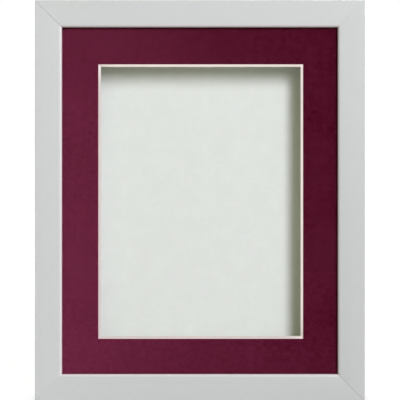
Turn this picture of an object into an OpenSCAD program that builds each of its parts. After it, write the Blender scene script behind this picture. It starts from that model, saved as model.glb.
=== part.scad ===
// Deep box frame (shadow box) for a 10 x 8 inch insert, portrait.
// X is the width, Y runs from the front face to the wall side, +Z is up.
// The origin is the middle of the bottom rail's underside, where the frame stands.
// All lengths are in millimetres.

/* [Sheets] */
// Width of the glass, mat, display sheet and back board
sheet_w = 203.2; // [150:0.1:260]
// Height of the glass, mat, display sheet and back board
sheet_h = 254; // [230:0.5:330]
// Gap between a centred sheet and each rebate wall
sheet_gap = 0.6; // [0.3:0.1:1.5]

/* [Frame moulding] */
// Width of the moulding across its face
face_w = 19.2; // [18:0.1:30]
// Depth of the moulding from face to wall side
frame_d = 33; // [28:0.5:50]
// Width of the lip in front of the glass
lip_w = 3.6; // [2.5:0.05:4.5]
// Thickness of that lip
lip_t = 2.5; // [2:0.1:5]
// Radius of the eased sight edge
sight_r = 1.6; // [0.4:0.1:1.8]
// Radius of the eased outer front edge
outer_r = 0.8; // [0.3:0.1:2]
// Radius of the eased outer back edge
back_r = 0.5; // [0.2:0.1:2]
// Width of the glue line in each mitre
glue_line = 0.06; // [0.02:0.01:0.2]

/* [Glass and mat] */
// Thickness of the glass
glass_t = 2; // [1:0.1:3]
// Thickness of the mat's coloured facing paper
facing_t = 0.25; // [0.15:0.05:0.5]
// Thickness of the mat's white core
core_t = 1.55; // [1.1:0.05:3]
// Thickness of the mat's lining paper
lining_t = 0.2; // [0.15:0.05:0.4]
// Width of the mat's window at its front
window_w = 147; // [110:0.5:150]
// Height of the mat's window at its front
window_h = 197; // [150:0.5:215]
// How far the window's bevel runs in from front to back
bevel_run = 1.75; // [1:0.05:4]
// How far the mat has slid sideways in the rebate
mat_shift = 0.6; // [-0.6:0.05:0.6]

/* [Box lining and backs] */
// Thickness of the spacer strips round the inside of the box
spacer_t = 5; // [2:0.5:8]
// Thickness of the white display sheet
display_t = 1.5; // [1:0.1:3]
// Thickness of the back board
board_t = 3; // [2:0.1:5]

/* [Corner V nails] */
// Length of each leg of a V nail
nail_leg = 5; // [3:0.1:5.2]
// Angle of each leg from the mitre line
nail_angle = 50; // [35:1:60]
// Thickness of the V nail's steel
nail_t = 0.5; // [0.3:0.1:0.8]
// Height of the V nail, along the moulding's depth
nail_h = 10; // [6:0.5:14]

/* [Turn buttons] */
// Distance from pivot to tip circle
button_reach = 18.5; // [15:0.5:24]
// Radius of the pivot end
button_r = 5.5; // [4.5:0.1:6]
// Radius of the tip
button_tip_r = 3.6; // [2.5:0.1:4.4]
// Thickness of the button
button_t = 1.2; // [0.8:0.1:2]
// Distance of the stile buttons from mid height
button_z = 85; // [78:1:95]

/* [Ring hangers] */
// Height of the ring's hinge above mid height
ring_z = 41; // [30:1:48]
// Radius of the ring's wire
wire_r = 1.15; // [0.9:0.05:1.3]
// Length of the ring from hinge to the middle of its bow
ring_len = 17; // [16:0.5:20]
// Width of the strap
strap_w = 8; // [6:0.5:8.5]
// Thickness of the strap's steel
strap_t = 0.85; // [0.6:0.05:1]
// Distance from the hinge down to the strap's end
strap_len = 10.2; // [9.8:0.1:10.8]

/* [Wall bumpers] */
// Radius of a bumper
bumper_r = 5; // [3:0.5:6]
// Thickness of a bumper
bumper_t = 4.5; // [4.3:0.1:6]

/* [Hidden] */
$fn = 48;

// frame sizes
rebate_w = sheet_w + 2 * sheet_gap;
rebate_h = sheet_h + 2 * sheet_gap;
wall_w = face_w - lip_w;            // moulding width behind the rebate
outer_w = rebate_w + 2 * wall_w;
outer_h = rebate_h + 2 * wall_w;
y_front = -frame_d / 2;
y_back = frame_d / 2;
mid_z = outer_h / 2;
floor_z = wall_w;                   // the rebate's lower wall, which carries the sheets

// front-to-back stack inside the rebate
y_glass = y_front + lip_t;
y_facing = y_glass + glass_t;
y_core = y_facing + facing_t;
y_lining = y_core + core_t;
y_box = y_lining + lining_t;        // front of the open box behind the mat
y_board = y_back - board_t;
y_display = y_board - display_t;
box_d = y_display - y_box;
mat_x = max(-sheet_gap, min(sheet_gap, mat_shift));

// screws
screw_shank_r = 1.9;
screw_thread_r = 1.75;
screw_core_r = 1.2;
screw_head_r = 3.6;
screw_head_h = 2.1;
screw_len = 13;
pilot_r = 1.8;
button_bore_r = 1.97;
head_gap = 0.05;

// turn button pivots: [x, z, angle that the tip points to, seen from behind the frame's front]
pivot_x = outer_w / 2 - wall_w / 2;
pivot_z = wall_w / 2;
BUTTONS = [
  [0, outer_h - pivot_z, -90],
  [0, pivot_z, 90],
  [-pivot_x, mid_z + button_z, 0],
  [-pivot_x, mid_z - button_z, 0],
  [pivot_x, mid_z + button_z, 180],
  [pivot_x, mid_z - button_z, 180]
];

// ring hangers
loop_in_r = wire_r + 0.08;
loop_out_r = loop_in_r + strap_t;
loop_y = loop_out_r + 0.02;         // hinge height above the moulding's back
ring_bar = strap_w / 2 + 0.3;       // half length of the ring's straight bar
ring_bend = 1.6;                    // bend radius beside the bar
ring_half = ring_bar + ring_bend;   // half width of the ring, wire centre
strap_screw = 6.2;                  // hinge to screw
hinge_z = mid_z + ring_z;

// Points of an arc, from angle a0 to a1
function arc(cx, cy, r, a0, a1, n) =
  [for (i = [0:n]) let (a = a0 + (a1 - a0) * i / n) [cx + r * cos(a), cy + r * sin(a)]];

// Outline round two circles on the x axis, the first at the origin
function teardrop(r1, r2, d, n) =
  let (a = acos((r1 - r2) / d))
  concat(arc(0, 0, r1, a, 360 - a, 2 * n), arc(d, 0, r2, -a, a, n));

// A prism standing on the frame's XZ plane, from depth y0 to y1
module prism_y(y0, y1) {
  translate([0, y1, 0]) rotate([90, 0, 0]) linear_extrude(y1 - y0) children();
}

// ---- frame moulding ----

// Section of the moulding: x from the outer edge inwards, y from face to wall side
module moulding_section() {
  polygon(concat(
    arc(outer_r, outer_r, outer_r, 180, 270, 6),
    arc(face_w - sight_r, sight_r, sight_r, 270, 360, 6),
    [[face_w, lip_t], [wall_w, lip_t], [wall_w, frame_d]],
    arc(back_r, frame_d - back_r, back_r, 90, 180, 4)
  ));
}

// A mitred length lying along X with its outer face down at z = 0
module mitred_length(len) {
  cut = glue_line / 2 * sqrt(2);
  h = face_w + 2;
  intersection() {
    translate([len / 2, y_front, 0]) rotate([0, -90, 0])
      linear_extrude(len) moulding_section();
    prism_y(y_front - 1, y_back + 1)
      polygon([[-len / 2 + cut, 0], [len / 2 - cut, 0],
               [len / 2 - cut - h, h], [-len / 2 + cut + h, h]]);
  }
}

// Outline of one V nail, its point at the origin and its legs towards +x
module v_nail_section() {
  for (m = [0, 1]) mirror([0, m])
    rotate(nail_angle) translate([-nail_t / 2, -nail_t / 2]) square([nail_leg, nail_t]);
}

// Two V nails in each corner, sunk from the moulding's back
module v_nails() {
  for (sx = [0, 1], sz = [0, 1])
    translate([0, 0, sz * outer_h]) mirror([0, 0, sz]) mirror([sx, 0, 0])
      for (s = [7.5, 14.8])
        prism_y(y_back - 0.4 - nail_h, y_back - 0.4)
          translate([-outer_w / 2 + s / sqrt(2), s / sqrt(2)])
            rotate(45) v_nail_section();
}

// V nail slots, open to the moulding's back
module v_nail_slots() {
  for (sx = [0, 1], sz = [0, 1])
    translate([0, 0, sz * outer_h]) mirror([0, 0, sz]) mirror([sx, 0, 0])
      for (s = [7.5, 14.8])
        prism_y(y_back - 0.4 - nail_h, y_back + 1)
          translate([-outer_w / 2 + s / sqrt(2), s / sqrt(2)])
            rotate(45) v_nail_section();
}

module pilot_hole(x, z) {
  translate([x, y_back + 1, z]) rotate([90, 0, 0]) cylinder(r = pilot_r, h = screw_len + 1.5);
}

module pilot_holes() {
  for (b = BUTTONS) pilot_hole(b[0], b[1]);
  for (s = [-1, 1]) pilot_hole(s * pivot_x, hinge_z - strap_screw);
}

module rail_bottom() {
  color("white") difference() { mitred_length(outer_w); v_nail_slots(); pilot_holes(); }
}
module rail_top() {
  color("white") difference() {
    translate([0, 0, outer_h]) rotate([0, 180, 0]) mitred_length(outer_w);
    v_nail_slots(); pilot_holes();
  }
}
module stile_left() {
  color("white") difference() {
    translate([-outer_w / 2, 0, mid_z]) rotate([0, 90, 0]) mitred_length(outer_h);
    v_nail_slots(); pilot_holes();
  }
}
module stile_right() {
  color("white") difference() {
    translate([outer_w / 2, 0, mid_z]) rotate([0, -90, 0]) mitred_length(outer_h);
    v_nail_slots(); pilot_holes();
  }
}
module corner_v_nails() { color("silver") v_nails(); }

// ---- sheets in the rebate ----

// A full sheet standing on the rebate floor
module sheet(y0, t) {
  translate([-sheet_w / 2, y0, floor_z]) cube([sheet_w, t, sheet_h]);
}

// The window's hole through the mat: full size at the front, narrowing along the bevel
module window_hole() {
  run = bevel_run;
  w = window_w / 2;
  h = window_h / 2;
  y0 = y_core;
  y1 = y_box;
  slope = run / (y1 - y0);
  translate([mat_x, 0, floor_z + sheet_h / 2]) union() {
    translate([-w, y0 - 1, -h]) cube([2 * w, 1, 2 * h]);
    intersection() {
      translate([0, 0, -sheet_h / 2]) linear_extrude(sheet_h)
        polygon([[-w, y0 - 0.2], [w, y0 - 0.2], [w, y0], [w - run - slope, y1 + 1],
                 [-w + run + slope, y1 + 1], [-w, y0]]);
      translate([-sheet_w / 2, 0, 0]) rotate([90, 0, 90]) linear_extrude(sheet_w)
        polygon([[y0 - 0.2, -h], [y0, -h], [y1 + 1, -h + run + slope],
                 [y1 + 1, h - run - slope], [y0, h], [y0 - 0.2, h]]);
    }
  }
}

module glass() { color("lightcyan", 0.4) sheet(y_glass, glass_t); }
module mat_facing() {
  color([0.36, 0.1, 0.19]) difference() {
    translate([mat_x, 0, 0]) sheet(y_facing, facing_t);
    window_hole();
  }
}
module mat_core() {
  color("ivory") difference() {
    translate([mat_x, 0, 0]) sheet(y_core, core_t);
    window_hole();
  }
}
module mat_lining() {
  color("white") difference() {
    translate([mat_x, 0, 0]) sheet(y_lining, lining_t);
    window_hole();
  }
}
module display_sheet() { color("whitesmoke") sheet(y_display, display_t); }
module back_board() { color("tan") sheet(y_board, board_t); }

// ---- spacer strips ----

spacer_gap = 0.2;                                  // strip to rebate side wall
spacer_long = rebate_w - 2 * spacer_gap;
spacer_side = rebate_h - 2 * spacer_t - 2 * spacer_gap;

// A strip across the box with its lower face at z
module cross_spacer(z) {
  translate([-spacer_long / 2, y_box, z]) cube([spacer_long, box_d, spacer_t]);
}
// An upright strip with its outer face at x, on side s
module upright_spacer(s) {
  x = s * (rebate_w / 2 - spacer_gap - spacer_t / 2);
  translate([x - spacer_t / 2, y_box, floor_z + spacer_t]) cube([spacer_t, box_d, spacer_side]);
}
module spacer_bottom() { color("white") cross_spacer(floor_z); }
module spacer_top() { color("white") cross_spacer(floor_z + spacer_t + spacer_side); }
module spacer_left() { color("white") upright_spacer(-1); }
module spacer_right() { color("white") upright_spacer(1); }

// ---- screws ----

// A pan head wood screw along Z, its head above z = 0. grip is the plain shank's length.
module wood_screw(grip) {
  pitch = 1.4;
  turns = floor((screw_len - grip - 2) / pitch);
  difference() {
    rotate_extrude() polygon(concat(
      [[0, -screw_len]],
      [for (i = [turns:-1:1]) each [
        [screw_core_r, -grip - i * pitch],
        [screw_thread_r, -grip - i * pitch + 0.7 * pitch]]],
      [[screw_core_r, -grip], [screw_shank_r, -grip], [screw_shank_r, 0]],
      [[screw_head_r, 0], [screw_head_r, 0.7]],
      arc(screw_head_r - 1.2, 0.7, 1.2, 15, 75, 3),
      [[1, screw_head_h], [0, screw_head_h]]));
    for (a = [0, 90]) rotate(a)
      translate([-1.9, -0.4, screw_head_h - 1.2]) cube([3.8, 0.8, 2]);
  }
}

// A screw driven in from the moulding's back, its head stack above the surface
module back_screw(x, z, stack, turn) {
  translate([x, y_back + stack, z]) rotate([-90, 0, 0]) rotate(turn) wood_screw(stack);
}

// ---- turn buttons ----

module turn_button(b) {
  color("gainsboro") translate([b[0], y_back, b[1]]) rotate([0, -b[2], 0])
    rotate([90, 0, 0]) mirror([0, 0, 1]) difference() {
      union() {
        linear_extrude(button_t) polygon(teardrop(button_r, button_tip_r, button_reach, 12));
        translate([button_reach - 0.4, 0, button_t - 0.1]) cylinder(r = 1.9, h = 0.5, $fn = 32);
      }
      translate([0, 0, -1]) cylinder(r = button_bore_r, h = button_t + 2);
    }
}
module turn_button_top() { turn_button(BUTTONS[0]); }
module turn_button_bottom() { turn_button(BUTTONS[1]); }
module turn_button_left_upper() { turn_button(BUTTONS[2]); }
module turn_button_left_lower() { turn_button(BUTTONS[3]); }
module turn_button_right_upper() { turn_button(BUTTONS[4]); }
module turn_button_right_lower() { turn_button(BUTTONS[5]); }
module turn_button_screws() {
  color("silver") for (i = [0:5])
    back_screw(BUTTONS[i][0], BUTTONS[i][1], button_t + head_gap, 17 + 31 * i);
}

// ---- ring hangers ----

// Strap folded round the ring's bar, screwed to a stile on side s
module hanger_strap(s) {
  tail_t = 2 * strap_t;
  color("silver") translate([s * pivot_x, y_back, hinge_z]) difference() {
    intersection() {
      translate([-strap_w / 2, 0, 0]) rotate([90, 0, 90]) linear_extrude(strap_w) union() {
        translate([loop_y, 0]) circle(loop_out_r);
        translate([0, -strap_len]) square([tail_t, strap_len]);
      }
      prism_y(-1, 2 * loop_out_r + 1)
        polygon(concat([[strap_w / 2, 3], [-strap_w / 2, 3]],
          arc(0, -strap_len + strap_w / 2, strap_w / 2, 180, 360, 16)));
    }
    translate([-strap_w, loop_y, 0]) rotate([0, 90, 0]) cylinder(r = loop_in_r, h = 2 * strap_w);
    translate([0, -1, -strap_screw]) rotate([-90, 0, 0]) cylinder(r = button_bore_r, h = 4);
  }
}

// Oblong wire ring that hangs from the strap's loop
module hanger_ring(s) {
  leg = ring_len - ring_half;
  color("silver") translate([s * pivot_x, y_back + loop_y, hinge_z]) union() {
    translate([-ring_bar, 0, 0]) rotate([0, 90, 0]) cylinder(r = wire_r, h = 2 * ring_bar);
    for (m = [0, 1]) mirror([m, 0, 0]) {
      translate([ring_bar, 0, -ring_bend]) rotate([90, 0, 0])
        rotate_extrude(angle = 90) translate([ring_bend, 0]) circle(wire_r);
      translate([ring_half, 0, -leg]) cylinder(r = wire_r, h = leg - ring_bend);
    }
    translate([0, 0, -leg]) rotate([-90, 0, 0])
      rotate_extrude(angle = 180) translate([ring_half, 0]) circle(wire_r);
  }
}
module hanger_strap_left() { hanger_strap(-1); }
module hanger_strap_right() { hanger_strap(1); }
module hanger_ring_left() { hanger_ring(-1); }
module hanger_ring_right() { hanger_ring(1); }
module hanger_screws() {
  color("silver") for (s = [-1, 1])
    back_screw(s * pivot_x, hinge_z - strap_screw, 2 * strap_t, 40 + 25 * s);
}

// ---- wall bumpers ----

module wall_bumpers() {
  color("dimgray") for (s = [-1, 1])
    translate([s * pivot_x, y_back, pivot_z]) rotate([-90, 0, 0])
      rotate_extrude() polygon(concat([[0, 0], [bumper_r, 0], [bumper_r, bumper_t - 1.5]],
        arc(bumper_r - 1.5, bumper_t - 1.5, 1.5, 20, 90, 4), [[0, bumper_t]]));
}

rail_top();
rail_bottom();
stile_left();
stile_right();
corner_v_nails();
glass();
mat_facing();
mat_core();
mat_lining();
spacer_top();
spacer_bottom();
spacer_left();
spacer_right();
display_sheet();
back_board();
turn_button_top();
turn_button_bottom();
turn_button_left_upper();
turn_button_left_lower();
turn_button_right_upper();
turn_button_right_lower();
turn_button_screws();
hanger_strap_left();
hanger_strap_right();
hanger_ring_left();
hanger_ring_right();
hanger_screws();
wall_bumpers();
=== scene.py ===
import math
import bmesh
import bpy
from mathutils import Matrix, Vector


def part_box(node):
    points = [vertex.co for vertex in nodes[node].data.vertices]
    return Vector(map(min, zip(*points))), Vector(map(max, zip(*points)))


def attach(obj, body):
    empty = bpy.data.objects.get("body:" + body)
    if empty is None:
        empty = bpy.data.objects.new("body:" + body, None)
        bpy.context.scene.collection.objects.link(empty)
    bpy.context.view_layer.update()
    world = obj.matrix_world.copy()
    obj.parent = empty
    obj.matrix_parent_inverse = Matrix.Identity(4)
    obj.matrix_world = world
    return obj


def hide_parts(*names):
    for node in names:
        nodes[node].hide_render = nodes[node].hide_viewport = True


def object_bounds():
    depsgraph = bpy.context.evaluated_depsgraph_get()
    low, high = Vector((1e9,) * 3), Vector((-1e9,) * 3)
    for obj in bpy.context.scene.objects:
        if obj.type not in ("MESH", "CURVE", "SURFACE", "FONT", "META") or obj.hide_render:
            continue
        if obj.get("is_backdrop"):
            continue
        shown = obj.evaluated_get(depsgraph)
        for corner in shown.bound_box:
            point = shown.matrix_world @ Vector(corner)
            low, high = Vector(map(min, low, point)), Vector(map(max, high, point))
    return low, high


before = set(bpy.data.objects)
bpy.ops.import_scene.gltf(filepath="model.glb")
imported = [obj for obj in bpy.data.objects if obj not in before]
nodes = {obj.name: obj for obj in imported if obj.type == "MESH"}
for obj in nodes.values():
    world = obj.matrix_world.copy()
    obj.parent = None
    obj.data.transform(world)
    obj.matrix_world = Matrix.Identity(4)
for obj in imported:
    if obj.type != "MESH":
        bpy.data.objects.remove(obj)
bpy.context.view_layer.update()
MM = 0.001

# ------------------------------------------------------------------ places, from the CAD frame
low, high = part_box("rail_bottom")
Y_FACE, Y_BACK, FACE_W = low.y, high.y, high.z - low.z
W = 2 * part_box("stile_right")[1].x
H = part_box("rail_top")[1].z
MID = H / 2
GLASS_LO, GLASS_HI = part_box("glass")
LIP_T = GLASS_LO.y - Y_FACE
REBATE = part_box("spacer_bottom")[0].z          # moulding width behind the rebate
CUT = 0.06 * MM / 2 * math.sqrt(2)             # half the glue line, along a rail
SIGHT_R = 1.6 * MM                             # radius of the eased sight edge


# ------------------------------------------------------------------ small helpers
class Mat:
    """A node material: m.node(type, {input: value or socket}, attribute=value) adds a node."""

    def __init__(self, name):
        self.m = bpy.data.materials.new(name)
        self.m.use_nodes = True
        self.nt = self.m.node_tree
        self.nt.nodes.clear()
        self.out = self.nt.nodes.new("ShaderNodeOutputMaterial")
        self.pos = self.node("ShaderNodeTexCoord").outputs["Object"]

    def node(self, kind, inputs=None, **attrs):
        n = self.nt.nodes.new(kind)
        for k, v in attrs.items():
            setattr(n, k, v)
        for k, v in (inputs or {}).items():
            if isinstance(v, bpy.types.NodeSocket):
                self.nt.links.new(v, n.inputs[k])
            else:
                n.inputs[k].default_value = v
        return n

    def math(self, op, a, b=0.0, c=0.0, clamp=False):
        return self.node("ShaderNodeMath", {0: a, 1: b, 2: c}, operation=op, use_clamp=clamp).outputs[0]

    def scaled(self, scale, shift=(0, 0, 0), pos=None):
        return self.node("ShaderNodeMapping", {"Vector": pos or self.pos, "Scale": scale, "Location": shift}).outputs[0]

    def noise(self, scale, detail=3.0, rough=0.5, pos=None, dims="3D", distortion=0.0):
        return self.node("ShaderNodeTexNoise", {"Vector": pos or self.pos, "Scale": scale, "Detail": detail,
                         "Roughness": rough, "Distortion": distortion}, noise_dimensions=dims).outputs[0]

    def xyz(self, pos=None):
        return self.node("ShaderNodeSeparateXYZ", {0: pos or self.pos}).outputs

    def ramp(self, value, lo, hi, a=0.0, b=1.0, smooth=True):
        return self.node("ShaderNodeMapRange", {"Value": value, "From Min": lo, "From Max": hi, "To Min": a,
                         "To Max": b}, interpolation_type="SMOOTHSTEP" if smooth else "LINEAR").outputs[0]

    def mix(self, fac, a, b, blend="MIX"):
        n = self.node("ShaderNodeMix", data_type="RGBA", blend_type=blend)
        for i, v in ((0, fac), (6, a), (7, b)):
            if isinstance(v, bpy.types.NodeSocket):
                self.nt.links.new(v, n.inputs[i])
            else:
                n.inputs[i].default_value = (*v, 1) if isinstance(v, tuple) and len(v) == 3 else v
        return n.outputs[2]

    def bump(self, height, distance, strength=1.0, normal=None):
        ins = {"Height": height, "Distance": distance, "Strength": strength}
        if normal is not None:
            ins["Normal"] = normal
        return self.node("ShaderNodeBump", ins).outputs[0]

    def surface(self, color, roughness, normal=None, **sockets):
        n = self.node("ShaderNodeBsdfPrincipled")
        for k, v in {"Base Color": color, "Roughness": roughness, **sockets}.items():
            if isinstance(v, bpy.types.NodeSocket):
                self.nt.links.new(v, n.inputs[k])
            else:
                n.inputs[k].default_value = (*v, 1) if isinstance(v, tuple) and len(v) == 3 else v
        if normal is not None:
            self.nt.links.new(normal, n.inputs["Normal"])
        self.nt.links.new(n.outputs[0], self.out.inputs[0])
        return self.m


def new_object(name, bm, materials, smooth_deg=None):
    """A mesh object from bm, its outside out, shaded smooth below smooth_deg."""
    bmesh.ops.remove_doubles(bm, verts=bm.verts, dist=1e-7)
    bmesh.ops.recalc_face_normals(bm, faces=bm.faces)
    me = bpy.data.meshes.new(name)
    bm.to_mesh(me)
    bm.free()
    if smooth_deg is not None:
        for p in me.polygons:
            p.use_smooth = True
        me.set_sharp_from_angle(angle=math.radians(smooth_deg))
    for m in materials:
        me.materials.append(m)
    o = bpy.data.objects.new(name, me)
    bpy.context.scene.collection.objects.link(o)
    return o


def ease(o, width, segments=2, angle=40):
    """Takes the sharpness off o's edges."""
    o.modifiers.new("join", "WELD").merge_threshold = 1e-6
    mod = o.modifiers.new("ease", "BEVEL")
    mod.width, mod.segments, mod.limit_method, mod.angle_limit = width, segments, "ANGLE", math.radians(angle)
    mod.use_clamp_overlap, mod.harden_normals, mod.miter_outer = True, True, "MITER_ARC"


def use_material(o, m):
    """The carried-over CAD node o shows material m."""
    for s in o.material_slots:
        s.material = m


# ------------------------------------------------------------------ materials
def lacquer(name, along, seed, ends, lip):
    """White satin lacquer over wood, its faint grain along the given axis. ends: its painted light falloff, the tone at
    the low and high end.
    lip: how much a painted highlight lightens the eased sight edge."""
    m = Mat(name)
    x, y, z = m.xyz()
    stretch = [1.0, 1.0, 1.0]
    stretch[along] = 0.03
    p = m.scaled(stretch, (seed, seed * 0.37, seed * 0.71))
    grain = m.noise(900, 4, 0.6, p)
    broad = m.noise(130, 2, 0.5, p)
    cloud = m.noise(14, 2, 0.5, m.scaled((1, 1, 1), (seed * 1.3, 0.2, 0.4)))
    peel = m.noise(1600, 1, 0.5)
    # how far the spot is from the nearest mitre plane, on the face
    ax = m.math("SUBTRACT", W / 2, m.math("ABSOLUTE", x))
    az = m.math("SUBTRACT", MID, m.math("ABSOLUTE", m.math("SUBTRACT", z, MID)))
    gap = m.math("ABSOLUTE", m.math("SUBTRACT", ax, az))
    seam = m.ramp(gap, 0.0, 0.55 * MM, 1.0, 0.0)
    # the seam shows most at the top left and bottom right
    corner = m.math("MULTIPLY", m.math("SIGN", x), m.math("SIGN", m.math("SUBTRACT", z, MID)))
    weight = m.ramp(corner, -1.0, 1.0, SEAM_CLEAR, SEAM_FAINT, smooth=False)
    seam = m.math("MULTIPLY", seam, weight)
    mottle = m.noise(330, 2, 0.5, m.scaled((1, 1, 1), (seed, seed, 0)))
    tone = m.math("ADD", m.math("MULTIPLY", m.math("SUBTRACT", grain, 0.5), 0.022),
                  m.math("MULTIPLY", m.math("SUBTRACT", mottle, 0.5), 0.045))
    tone = m.math("ADD", tone,
                  m.math("ADD", m.math("MULTIPLY", m.math("SUBTRACT", broad, 0.5), 0.050),
                         m.math("MULTIPLY", m.math("SUBTRACT", cloud, 0.5), 0.050)))
    tone = m.math("ADD", 0.5, tone)
    col = m.mix(tone, tuple(c - 0.5 * LACQUER_SWING for c in LACQUER), tuple(c + 0.5 * LACQUER_SWING for c in LACQUER))
    # painted light: the tone falls off along the length, as the key light's falloff would make it
    half = W / 2 if along == 0 else MID
    mid = 0.0 if along == 0 else MID
    painted_falloff = m.ramp((x, y, z)[along], mid - half, mid + half, ends[0], ends[1], smooth=False)
    col = m.mix(1.0, col, m.node("ShaderNodeCombineColor", {0: painted_falloff, 1: painted_falloff, 2: painted_falloff}).outputs[0], "MULTIPLY")
    # painted reflected light: the eased sight edge is tinted rosier, as light bounced off the mat beside it would tint
    # it
    painted_mat_bounce = m.ramp(m.math("MINIMUM", ax, az), FACE_W - 2.2 * MM, FACE_W - 0.6 * MM)
    col = m.mix(m.math("MULTIPLY", painted_mat_bounce, 0.8), col, m.mix(1.0, col, (1.0, 0.86, 0.90), "MULTIPLY"))
    # painted highlight: the eased sight edge is painted lighter where it faces the key light
    painted_lip_highlight = m.ramp(m.math("MINIMUM", ax, az), FACE_W - 1.7 * MM, FACE_W - 1.2 * MM, 1.0, lip)
    col = m.mix(1.0, col, m.node("ShaderNodeCombineColor", {0: painted_lip_highlight, 1: painted_lip_highlight, 2: painted_lip_highlight}).outputs[0], "MULTIPLY")
    col = m.mix(seam, col, (0.36, 0.36, 0.345))
    height = m.math("ADD", m.math("MULTIPLY", grain, 0.7), m.math("MULTIPLY", broad, 0.6))
    n = m.bump(height, 0.010 * MM * 2)
    n = m.bump(peel, 0.003 * MM, 1.0, n)
    rough = m.ramp(m.math("ADD", m.math("MULTIPLY", cloud, 0.6), m.math("MULTIPLY", grain, 0.4)), 0.3, 0.7, 0.42, 0.50)
    # handling has polished the eased sight edge
    polish = m.ramp(m.math("MINIMUM", ax, az), FACE_W - SIGHT_R - 0.3 * MM, FACE_W - SIGHT_R + 0.1 * MM)
    rough = m.math("MULTIPLY", rough, m.math("SUBTRACT", 1.0, m.math("MULTIPLY", polish, ARRIS_POLISH)))
    return m.surface(col, rough, n, **{"Specular IOR Level": 0.42})


def raw_moulding(name, along, seed):
    """The moulding's rebate and wall side: bare wood fibre under thin overspray."""
    m = Mat(name)
    x, y, z = m.xyz()
    stretch = [1.0, 1.0, 1.0]
    stretch[along] = 0.06
    p = m.scaled(stretch, (seed, 0.3, seed * 0.5))
    fibre = m.noise(1300, 5, 0.65, p)
    saw = m.noise(420, 3, 0.5, p)
    blotch = m.noise(60, 4, 0.6)
    wood = m.mix(m.ramp(fibre, 0.3, 0.7), (0.47, 0.34, 0.215), (0.70, 0.56, 0.40))
    wood = m.mix(m.math("MULTIPLY", m.ramp(saw, 0.45, 0.75), 0.35), wood, (0.36, 0.24, 0.14))
    # overspray: strongest at the outer and front edges, patchy elsewhere
    ax = m.math("SUBTRACT", W / 2, m.math("ABSOLUTE", x))
    az = m.math("SUBTRACT", MID, m.math("ABSOLUTE", m.math("SUBTRACT", z, MID)))
    edge = m.math("MINIMUM", ax, az)
    spray = m.math("ADD", m.ramp(edge, 0.0, 3.4 * MM, 1.0, 0.0), m.math("MULTIPLY", m.math("SUBTRACT", blotch, 0.5), 0.55))
    spray = m.math("ADD", spray, m.math("MULTIPLY", m.math("SUBTRACT", fibre, 0.5), 0.5))
    spray = m.ramp(spray, 0.22, 0.62)
    col = m.mix(spray, wood, (0.68, 0.68, 0.65))
    n = m.bump(m.math("ADD", fibre, m.math("MULTIPLY", saw, 0.6)), 0.10 * MM, 0.6)
    return m.surface(col, m.ramp(spray, 0.0, 1.0, 0.82, 0.55), n, **{"Specular IOR Level": 0.25})


def mat_paper():
    """Burgundy uncoated paper, softly mottled, with painted light: lighter towards the lower left."""
    m = Mat("burgundy_mat_paper")
    x, y, z = m.xyz()
    tooth = m.noise(2600, 3, 0.6)
    fibre = m.noise(620, 4, 0.62, distortion=0.6)
    mottle = m.noise(260, 2, 0.55)
    cloud = m.noise(24, 3, 0.5)
    # painted light: the paper is painted lighter towards the lower left, as if lit more strongly from there
    side = m.ramp(x, -W / 2 + FACE_W, W / 2 - FACE_W, 1.0, 0.0, smooth=False)
    down = m.ramp(z, FACE_W, H - FACE_W, 1.0, 0.0, smooth=False)
    light = m.math("ADD", m.math("MULTIPLY", side, MAT_SIDE), m.math("MULTIPLY", down, 1 - MAT_SIDE))
    light = m.math("ADD", m.math("MULTIPLY", m.math("POWER", m.math("MAXIMUM", light, 0.0), 1.4), 0.88), 0.12)
    light = m.math("ADD", light, m.math("MULTIPLY", m.math("SUBTRACT", mottle, 0.5), 0.52))
    light = m.math("ADD", light, m.math("MULTIPLY", m.math("SUBTRACT", cloud, 0.5), 0.38))
    light = m.math("ADD", light, m.math("MULTIPLY", m.math("SUBTRACT", fibre, 0.5), 0.46))
    light = m.math("ADD", light, m.math("MULTIPLY", m.math("SUBTRACT", tooth, 0.5), 0.27))
    light = m.math("MULTIPLY", light, 1 / 1.3, clamp=True)
    col = m.mix(light, MAT_DARK, MAT_LIGHT)
    n = m.bump(m.math("ADD", m.math("MULTIPLY", tooth, 0.6), fibre), 0.035 * MM, 0.8)
    return m.surface(col, m.ramp(fibre, 0.3, 0.7, 0.86, 0.95), n, **{"Specular IOR Level": 0.03})


def core_board():
    """The mat's pressed core, seen on the window's bevel: thin plies and cut fibre, its top and right bevels painted
    lighter and given a painted glow.
    """
    m = Mat("mat_core_board")
    x, y, z = m.xyz()
    ply = m.noise(1.0, 2, 0.5, m.scaled((40, 9000, 40)))
    fibre = m.noise(1800, 3, 0.6)
    along = m.noise(90, 3, 0.55)
    # painted highlight: the top and right bevels are painted lighter than the left and bottom
    painted_bevel_light = m.ramp(m.math("ADD", m.math("SUBTRACT", z, MID), m.math("MULTIPLY", x, 1.32)), -0.02, 0.02)
    base = m.mix(painted_bevel_light, CORE_LOW, CORE_HIGH)
    t = m.math("ADD", m.math("MULTIPLY", ply, 0.4), m.math("ADD", m.math("MULTIPLY", fibre, 0.3), m.math("MULTIPLY", along, 0.3)))
    col = m.mix(m.ramp(t, 0.35, 0.65), m.mix(1.0, base, (0.93, 0.925, 0.92), "MULTIPLY"), base)
    n = m.bump(m.math("ADD", ply, m.math("MULTIPLY", fibre, 0.7)), 0.02 * MM, 0.5)
    # painted glow: the top and right bevels also glow a little, though the core is no lamp
    return m.surface(col, 0.9, n, **{"Specular IOR Level": 0.15, "Emission Color": col,
                                     "Emission Strength": m.math("MULTIPLY", painted_bevel_light, CORE_PAINTED_GLOW)})


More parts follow.
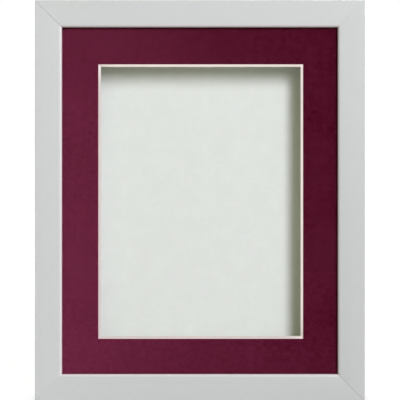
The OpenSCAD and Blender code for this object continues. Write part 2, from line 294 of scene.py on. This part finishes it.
def card(name, low_c, high_c, grain=900, bump=0.012, rough=0.8):
    """Smooth white card or board with a little fibre and very soft clouding."""
    m = Mat(name)
    fibre = m.noise(grain, 4, 0.6, distortion=0.4)
    cloud = m.noise(85, 3, 0.55)
    flock = m.noise(330, 2, 0.5)
    speck = m.noise(2400, 2, 0.5)
    t = m.math("ADD", m.math("MULTIPLY", fibre, 0.25), m.math("ADD", m.math("MULTIPLY", cloud, 0.3), m.math("MULTIPLY", speck, 0.1)))
    t = m.math("ADD", t, m.math("MULTIPLY", flock, 0.26))
    col = m.mix(m.ramp(t, 0.35, 0.65), low_c, high_c)
    n = m.bump(m.math("ADD", fibre, m.math("MULTIPLY", speck, 0.6)), bump * MM, 0.6)
    return m.surface(col, m.ramp(fibre, 0.3, 0.7, rough - 0.04, rough + 0.06), n, **{"Specular IOR Level": 0.2})


def hardboard():
    """Raw fibre board: matted short fibres, darker flecks, a pressed sheen."""
    m = Mat("back_hardboard")
    fibre = m.noise(520, 6, 0.68, distortion=1.4)
    fine = m.noise(2200, 4, 0.6, distortion=0.8)
    cloud = m.noise(24, 4, 0.55)
    fleck = m.node("ShaderNodeTexVoronoi", {"Vector": m.scaled((1, 1, 1.5)), "Scale": 330.0, "Randomness": 1.0}).outputs["Distance"]
    strand = m.noise(760, 3, 0.5, m.scaled((1, 1, 0.22)), distortion=1.0)
    strand2 = m.noise(760, 3, 0.5, m.scaled((0.22, 1, 1), (0.7, 0, 0.4)), distortion=1.0)
    col = m.mix(m.ramp(fibre, 0.3, 0.72), (0.235, 0.145, 0.080), (0.47, 0.325, 0.20))
    col = m.mix(m.math("MULTIPLY", m.ramp(fine, 0.35, 0.75), 0.55), col, (0.55, 0.40, 0.26))
    col = m.mix(m.math("MULTIPLY", m.ramp(strand, 0.56, 0.74), 0.45), col, (0.60, 0.46, 0.31))
    col = m.mix(m.math("MULTIPLY", m.ramp(strand2, 0.56, 0.74), 0.40), col, (0.17, 0.10, 0.055))
    col = m.mix(m.math("MULTIPLY", m.ramp(fleck, 0.0, 0.22, 1.0, 0.0), 0.5), col, (0.12, 0.07, 0.04))
    col = m.mix(m.math("MULTIPLY", m.math("SUBTRACT", cloud, 0.3), 0.45, clamp=True), col, (0.33, 0.23, 0.145))
    h = m.math("ADD", m.math("ADD", fibre, m.math("MULTIPLY", fine, 0.5)), m.math("MULTIPLY", strand, 0.4))
    n = m.bump(h, 0.09 * MM, 0.55)
    return m.surface(col, m.ramp(fine, 0.3, 0.7, 0.50, 0.72), n, **{"Specular IOR Level": 0.4})


def zinc(name, seed, base=(0.62, 0.635, 0.655), rough=(0.24, 0.42)):
    """Bright zinc plate: a cloudy crystalline sheen, fine rub marks and a few dull spots."""
    m = Mat(name)
    p = m.scaled((1, 1, 1), (seed, seed * 0.6, seed * 0.3))
    cloud = m.noise(300, 4, 0.6, p)
    grain = m.noise(4200, 2, 0.5, p)
    rub = m.noise(1500, 3, 0.6, m.scaled((1, 1, 0.06), (seed, 0, 0)))
    tint = m.noise(160, 2, 0.5, p)
    col = m.mix(m.ramp(cloud, 0.3, 0.7), tuple(c * 0.86 for c in base), base)
    col = m.mix(m.math("MULTIPLY", m.ramp(tint, 0.45, 0.75), 0.35), col, (0.66, 0.63, 0.53))
    col = m.mix(m.math("MULTIPLY", m.ramp(rub, 0.6, 0.8), 0.3), col, (0.42, 0.43, 0.45))
    r = m.math("ADD", m.ramp(cloud, 0.3, 0.7, rough[0], rough[1]), m.math("MULTIPLY", m.math("SUBTRACT", rub, 0.5), 0.16))
    n = m.bump(m.math("ADD", m.math("MULTIPLY", grain, 0.5), rub), 0.006 * MM, 0.7)
    return m.surface(col, r, n, Metallic=1.0)


def rubber():
    """Dark grey rubber with a dusty skin."""
    m = Mat("bumper_rubber")
    fine = m.noise(2600, 3, 0.6)
    dust = m.noise(420, 4, 0.65)
    col = m.mix(m.ramp(dust, 0.4, 0.75), (0.038, 0.038, 0.041), (0.075, 0.075, 0.077))
    n = m.bump(fine, 0.02 * MM, 0.6)
    return m.surface(col, m.ramp(dust, 0.3, 0.7, 0.52, 0.74), n, **{"Specular IOR Level": 0.35})


def pane():
    """Clear low-reflection picture glass: it mirrors little face on and more at a slant."""
    m = Mat("picture_glass")
    facing = m.node("ShaderNodeLayerWeight", {"Blend": 0.5}).outputs["Facing"]
    smear = m.noise(38, 4, 0.6, distortion=0.8)
    fres = m.math("ADD", GLASS_FACE_ON, m.math("MULTIPLY", m.math("POWER", facing, 4.6), 0.93))
    clear = m.node("ShaderNodeBsdfTransparent", {"Color": (0.992, 0.996, 0.992, 1)})
    gloss = m.node("ShaderNodeBsdfGlossy", {"Color": (1, 1, 1, 1), "Roughness": m.ramp(smear, 0.35, 0.8, 0.004, 0.03)})
    mix = m.node("ShaderNodeMixShader", {0: fres, 1: clear.outputs[0], 2: gloss.outputs[0]})
    m.nt.links.new(mix.outputs[0], m.out.inputs[0])
    return m.m


# tones settled against the reference, linear
LACQUER = (0.634, 0.638, 0.648)
LACQUER_SWING = 0.60
SEAM_CLEAR, SEAM_FAINT = 0.30, 0.0
MAT_DARK, MAT_LIGHT = (0.0619, 0.0002, 0.0104), (0.2020, 0.0270, 0.0722)
# MAT_SIDE: how much of the mat's painted light runs from left to right rather than from bottom to top
MAT_SIDE = 0.72
# the core's tones: lighter on the top and right bevels as painted highlight, darker on the left and bottom; and the
# strength of its painted glow
CORE_HIGH, CORE_LOW = (1.0, 0.86, 0.87), (0.84, 0.68, 0.70)
CORE_PAINTED_GLOW = 0.24
ARRIS_POLISH = 0.5
GLASS_FACE_ON = 0.001

# each moulding's end tones are painted light falloff, and its last number is the painted highlight on its sight edge
lacquer_x = [lacquer("white_lacquer_top", 0, 1.7, (1.066, 0.972), 1.06), lacquer("white_lacquer_bottom", 0, 4.1, (1.062, 0.950), 1.27)]
lacquer_z = [lacquer("white_lacquer_left", 2, 2.9, (1.090, 1.060), 1.27), lacquer("white_lacquer_right", 2, 7.3, (0.936, 0.965), 1.03)]
raw_x, raw_z = raw_moulding("moulding_raw_rails", 0, 1.1), raw_moulding("moulding_raw_stiles", 2, 3.3)


# ------------------------------------------------------------------ moulding
def arc(cu, cv, r, a0, a1, n):
    return [(cu + r * math.cos(math.radians(a0 + (a1 - a0) * i / n)), cv + r * math.sin(math.radians(a0 + (a1 - a0) * i / n))) for i in range(n + 1)]


def moulding_profile():
    """[(u from the outer edge inwards, v from the face back)], and whether the side after each point is lacquered."""
    d = Y_BACK - Y_FACE
    pts = arc(0.8 * MM, 0.8 * MM, 0.8 * MM, 180, 270, 10)
    pts += arc(FACE_W - SIGHT_R, SIGHT_R, SIGHT_R, 270, 360, 16)
    pts += arc(FACE_W - 0.15 * MM, LIP_T - 0.15 * MM, 0.15 * MM, 0, 90, 3)
    lacq = len(pts) - 1
    pts += [(REBATE + 0.1 * MM, LIP_T), (REBATE, LIP_T + 0.1 * MM)]
    pts += arc(REBATE - 0.25 * MM, d - 0.25 * MM, 0.25 * MM, 0, 90, 3)
    raw_end = len(pts) - 1
    pts += arc(0.5 * MM, d - 0.5 * MM, 0.5 * MM, 90, 180, 6)
    lacquered = [i < lacq or i >= raw_end + 3 for i in range(len(pts))]
    return pts, lacquered


def profile_normals(pts):
    out = []
    for i, p in enumerate(pts):
        a, b = Vector(pts[i - 1]), Vector(pts[(i + 1) % len(pts)])
        t = (b - a).normalized()
        out.append(Vector((-t.y, t.x)))
    return out


def v_nail_outline(grow=0.0):
    """A V nail's section, its point at the origin and its legs towards +x."""
    leg, t, a = 4.75 * MM, 0.5 * MM + 2 * grow, math.radians(50)
    pts = []
    for s in (1, -1):
        d = Vector((math.cos(a), s * math.sin(a)))
        n = Vector((-d.y, d.x)) * s
        tip = d * (leg + grow)
        pts.append([tip + n * t / 2, tip - n * t / 2])
    back = Vector((-t / 2 / math.sin(a), 0))
    inner = Vector((t / 2 / math.sin(a), 0))
    return [back, pts[1][0], pts[1][1], inner, pts[0][1], pts[0][0]]


def prism(bm, outline, y0, y1):
    """A closed prism over an outline of (x, z) points, from depth y0 to y1."""
    a = [bm.verts.new((p[0], y0, p[1])) for p in outline]
    b = [bm.verts.new((p[0], y1, p[1])) for p in outline]
    n = len(outline)
    for i in range(n):
        bm.faces.new((a[i], a[(i + 1) % n], b[(i + 1) % n], b[i]))
    bm.faces.new(a[::-1])
    bm.faces.new(b)


def corner_cuts():
    """The V nails' slots and the screws' pilot holes, as one cutter."""
    bm = bmesh.new()
    for sx in (-1, 1):
        for sz in (-1, 1):
            for s in (7.5 * MM, 14.8 * MM):
                pts = []
                for p in v_nail_outline(0.01 * MM):
                    q = Vector(((p.x - p.y) / math.sqrt(2), (p.x + p.y) / math.sqrt(2)))
                    q += Vector((s / math.sqrt(2), s / math.sqrt(2)))
                    pts.append((sx * (W / 2 - q.x), MID + sz * (MID - q.y)))
                prism(bm, pts, Y_BACK - 10.4 * MM, Y_BACK + 1 * MM)
    px, pz, hz = W / 2 - REBATE / 2, REBATE / 2, MID + 41 * MM
    holes = [(0, H - pz), (0, pz)] + [(s * px, MID + t * 85 * MM) for s in (-1, 1) for t in (-1, 1)]
    holes += [(s * px, hz - 6.2 * MM) for s in (-1, 1)]
    for hx, hz_ in holes:
        prism(bm, [(hx + 1.8 * MM * math.cos(k * math.pi / 16), hz_ + 1.8 * MM * math.sin(k * math.pi / 16)) for k in range(32)],
              Y_BACK - 13.5 * MM, Y_BACK + 1 * MM)
    bmesh.ops.recalc_face_normals(bm, faces=bm.faces)
    me = bpy.data.meshes.new("cuts")
    bm.to_mesh(me)
    bm.free()
    o = bpy.data.objects.new("cuts", me)
    bpy.context.scene.collection.objects.link(o)
    return o


def moulding_length(name, half, place, mats):
    """A mitred length. half is half its outer length and place maps (along, u, v) to a point."""
    pts, lacquered = moulding_profile()
    norms = profile_normals(pts)
    bm = bmesh.new()
    rings = []
    # the lacquer rolls over a little at each mitre: (distance from the mitre, how deep it has rolled).
    # It has nearly closed the seams at the top right and bottom left.
    roll = [(0.0, 0.10), (0.03, 0.05), (0.08, 0.018), (0.15, 0.004), (0.24, 0.0)]
    ends = []
    for sgn in (-1, 1):
        p = place(sgn * half, 0.0, 0.0)
        open_seam = (p[0] > 0) != (p[2] > MID)
        depth = 1.0 if open_seam else 0.08
        ends += [(sgn, (d - (0 if open_seam else 0.02)) * MM, e * depth * MM) for d, e in (roll if sgn < 0 else reversed(roll))]
    for sgn, d, e in ends:
        ring = []
        for (u, v), n in zip(pts, norms):
            front = max(0.0, 1 - v / (0.5 * (Y_BACK - Y_FACE)))
            uu, vv = u + n.x * e * front, v + n.y * e * front
            ring.append(bm.verts.new(place(sgn * (half - CUT - u - d), uu, vv)))
        rings.append(ring)
    n = len(pts)
    for a, b in zip(rings, rings[1:]):
        for i in range(n):
            f = bm.faces.new((a[i], a[(i + 1) % n], b[(i + 1) % n], b[i]))
            f.material_index = 0 if lacquered[i] else 1
    for ring in (rings[0], rings[-1]):
        f = bm.faces.new(ring)
        f.material_index = 1
    return new_object(name, bm, mats)


def finish_moulding(o, cutter, smooth_deg=28):
    """Cuts the slots and holes, then shades the rounded edges smooth."""
    mod = o.modifiers.new("cut", "BOOLEAN")
    mod.operation, mod.solver, mod.object = "DIFFERENCE", "EXACT", cutter
    dg = bpy.context.evaluated_depsgraph_get()
    me = bpy.data.meshes.new_from_object(o.evaluated_get(dg))
    o.modifiers.clear()
    old, o.data = o.data, me
    bpy.data.meshes.remove(old)
    me.name = o.name
    for p in me.polygons:
        p.use_smooth = True
    me.set_sharp_from_angle(angle=math.radians(smooth_deg))


cutter = corner_cuts()
mouldings = {
    "rail_bottom": (W / 2, lambda s, u, v: (s, Y_FACE + v, u), [lacquer_x[1], raw_x]),
    "rail_top": (W / 2, lambda s, u, v: (-s, Y_FACE + v, H - u), [lacquer_x[0], raw_x]),
    "stile_left": (MID, lambda s, u, v: (-W / 2 + u, Y_FACE + v, MID - s), [lacquer_z[0], raw_z]),
    "stile_right": (MID, lambda s, u, v: (W / 2 - u, Y_FACE + v, MID + s), [lacquer_z[1], raw_z]),
}
for node, (half, place, mats) in mouldings.items():
    o = moulding_length("moulding_" + node, half, place, mats)
    finish_moulding(o, cutter)
    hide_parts(node)
    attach(o, "case")
bpy.data.objects.remove(cutter)

# ------------------------------------------------------------------ sheets and backs
def rounded_slab(name, lo, hi, arris, shy, materials, smooth_deg=None):
    """A slab with its edges taken off by arris, its two large faces (along y) set in by shy."""
    bm = bmesh.new()
    rings = []
    for y, inset in ((lo.y + shy, arris), (lo.y + shy + arris, 0.0), (hi.y - shy - arris, 0.0), (hi.y - shy, arris)):
        rings.append([bm.verts.new((x, y, z)) for x, z in (
            (lo.x + inset, lo.z + inset), (hi.x - inset, lo.z + inset), (hi.x - inset, hi.z - inset), (lo.x + inset, hi.z - inset))])
    for a, b in zip(rings, rings[1:]):
        for i in range(4):
            bm.faces.new((a[i], a[(i + 1) % 4], b[(i + 1) % 4], b[i]))
    bm.faces.new(rings[0][::-1])
    bm.faces.new(rings[-1])
    return new_object(name, bm, materials, smooth_deg)


glass = rounded_slab("picture_glass", GLASS_LO, GLASS_HI, 0.25 * MM, 0.03 * MM, [pane()])
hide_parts("glass")
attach(glass, "case")
use_material(nodes["mat_facing"], mat_paper())
use_material(nodes["mat_core"], core_board())
use_material(nodes["mat_lining"], card("mat_lining_paper", (0.74, 0.73, 0.61), (0.80, 0.79, 0.67)))
use_material(nodes["display_sheet"], card("display_card", (0.815, 0.820, 0.811), (0.869, 0.874, 0.865)))
use_material(nodes["back_board"], hardboard())
ease(nodes["back_board"], 0.35 * MM, 3)
for k, n in enumerate(("spacer_top", "spacer_bottom", "spacer_left", "spacer_right")):
    use_material(nodes[n], card(f"{n}_board", (0.76, 0.76, 0.67), (0.82, 0.82, 0.73), grain=500, bump=0.03))

# ------------------------------------------------------------------ hardware
use_material(nodes["corner_v_nails"], zinc("v_nail_steel", 0.4, (0.36, 0.365, 0.37), (0.35, 0.55)))
for k, n in enumerate(sorted(n for n in nodes if n.startswith("turn_button_") and n != "turn_button_screws")):
    use_material(nodes[n], zinc(f"{n}_zinc", 1.3 + 0.8 * k))
    ease(nodes[n], 0.16 * MM)
use_material(nodes["turn_button_screws"], zinc("button_screw_zinc", 5.2, (0.60, 0.60, 0.60), (0.2, 0.34)))
use_material(nodes["hanger_screws"], zinc("hanger_screw_zinc", 6.1, (0.60, 0.60, 0.60), (0.2, 0.34)))
for s in ("left", "right"):
    use_material(nodes[f"hanger_strap_{s}"], zinc(f"strap_{s}_zinc", 3.1 if s == "left" else 3.9))
    ease(nodes[f"hanger_strap_{s}"], 0.10 * MM)
    use_material(nodes[f"hanger_ring_{s}"], zinc(f"ring_{s}_zinc", 7.7 if s == "left" else 8.8, (0.68, 0.69, 0.70), (0.16, 0.28)))
use_material(nodes["wall_bumpers"], rubber())

# ------------------------------------------------------------------ stage, camera and light
scene = bpy.context.scene


def floor():
    """A plain pale sweep. To the camera it reads as a white studio floor with a soft contact shadow."""
    bm = bmesh.new()
    bmesh.ops.create_grid(bm, x_segments=1, y_segments=1, size=14)
    m = Mat("floor_paper")
    grain = m.noise(300, 3, 0.6)
    far = m.ramp(m.node("ShaderNodeVectorMath", {0: m.pos}, operation="LENGTH").outputs["Value"], 0.35, 2.0)
    p = m.node("ShaderNodeBsdfPrincipled", {"Base Color": m.mix(m.ramp(grain, 0.3, 0.7), (0.42, 0.42, 0.385), (0.44, 0.44, 0.405)),
                                            "Roughness": 0.85, "Specular IOR Level": 0.15})
    open_sky = m.node("ShaderNodeAmbientOcclusion", {"Distance": 0.35}, samples=24).outputs["AO"]
    e = m.node("ShaderNodeEmission", {"Color": (1, 1, 1, 1), "Strength": m.ramp(open_sky, 0.32, 0.62, 0.55, 1.035)})
    seen = m.node("ShaderNodeLightPath").outputs["Is Camera Ray"]
    mix = m.node("ShaderNodeMixShader", {0: m.math("MULTIPLY", m.ramp(far, 0.0, 1.0, 0.95, 1.0, smooth=False), seen), 1: p.outputs[0], 2: e.outputs[0]})
    m.nt.links.new(mix.outputs[0], m.out.inputs[0])
    o = new_object("floor", bm, [m.m])
    o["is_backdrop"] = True
    return o


def area(name, spot, aim, size, power, color):
    d = bpy.data.lights.new(name, "AREA")
    d.shape, d.size, d.size_y = "RECTANGLE", size[0], size[1]
    d.energy, d.color = power, color
    o = bpy.data.objects.new(name, d)
    o.location = spot
    o.rotation_mode = "QUATERNION"
    o.rotation_quaternion = (Vector(aim) - Vector(spot)).to_track_quat("-Z", "Y")
    scene.collection.objects.link(o)
    return o


floor()
CAM_D = 0.9
PX = 0.7141 * MM                               # one picture element at the frame's face
cam_data = bpy.data.cameras.new("camera")
cam_data.sensor_width = 36
cam_data.lens = 36 * CAM_D / (400 * PX)
cam_data.clip_start, cam_data.clip_end = 0.01, 60
cam = bpy.data.objects.new("camera", cam_data)
cam.location = (0.12 * PX, Y_FACE - CAM_D, MID + 0.75 * PX)
cam.rotation_euler = (math.radians(90), 0, 0)
scene.collection.objects.link(cam)
scene.camera = cam

# key light, upper right in front, square on to the face; its span sets the mat's shadow
L = 4.5
kc = (0.072 + 0.325 * L, Y_FACE - L, 0.2400 + 0.385 * L)
key = area("key_light", kc, (kc[0], 0, kc[2]), (0.41 * L, 0.69 * L), 218, (0.880, 0.888, 1.0))
key.data.shape = "ELLIPSE"
area("fill_front", (0.0, -1.3, 0.40), (0, 0, 0.40), (1.8, 1.2), 4.2, (0.97, 1.0, 0.62))
side = area("side_fill", (-1.25, 0.22, 0.45), (-W / 2, 0, MID), (0.7, 0.7), 0.65, (0.93, 0.95, 1.0))
side.data.spread = math.radians(50)
area("back_fill", (0.55, 1.25, 0.95), (0, 0, 0.14), (0.8, 0.8), 20, (1.0, 0.99, 0.97))

world = bpy.data.worlds.new("world")
scene.world = world
world.use_nodes = True
wn = world.node_tree
wn.nodes.clear()
wout = wn.nodes.new("ShaderNodeOutputWorld")
bright, dim = wn.nodes.new("ShaderNodeBackground"), wn.nodes.new("ShaderNodeBackground")
bright.inputs[0].default_value, bright.inputs[1].default_value = (1, 1, 1, 1), 1.02
dim.inputs[0].default_value, dim.inputs[1].default_value = (0.97, 1.0, 0.62, 1), 0.119
path, wmix = wn.nodes.new("ShaderNodeLightPath"), wn.nodes.new("ShaderNodeMixShader")
wn.links.new(path.outputs["Is Camera Ray"], wmix.inputs[0])
wn.links.new(dim.outputs[0], wmix.inputs[1])
wn.links.new(bright.outputs[0], wmix.inputs[2])
wn.links.new(wmix.outputs[0], wout.inputs[0])

scene.view_settings.view_transform = "Standard"
scene.view_settings.look = "None"
scene.view_settings.exposure = 0
scene.view_settings.gamma = 1

low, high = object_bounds()
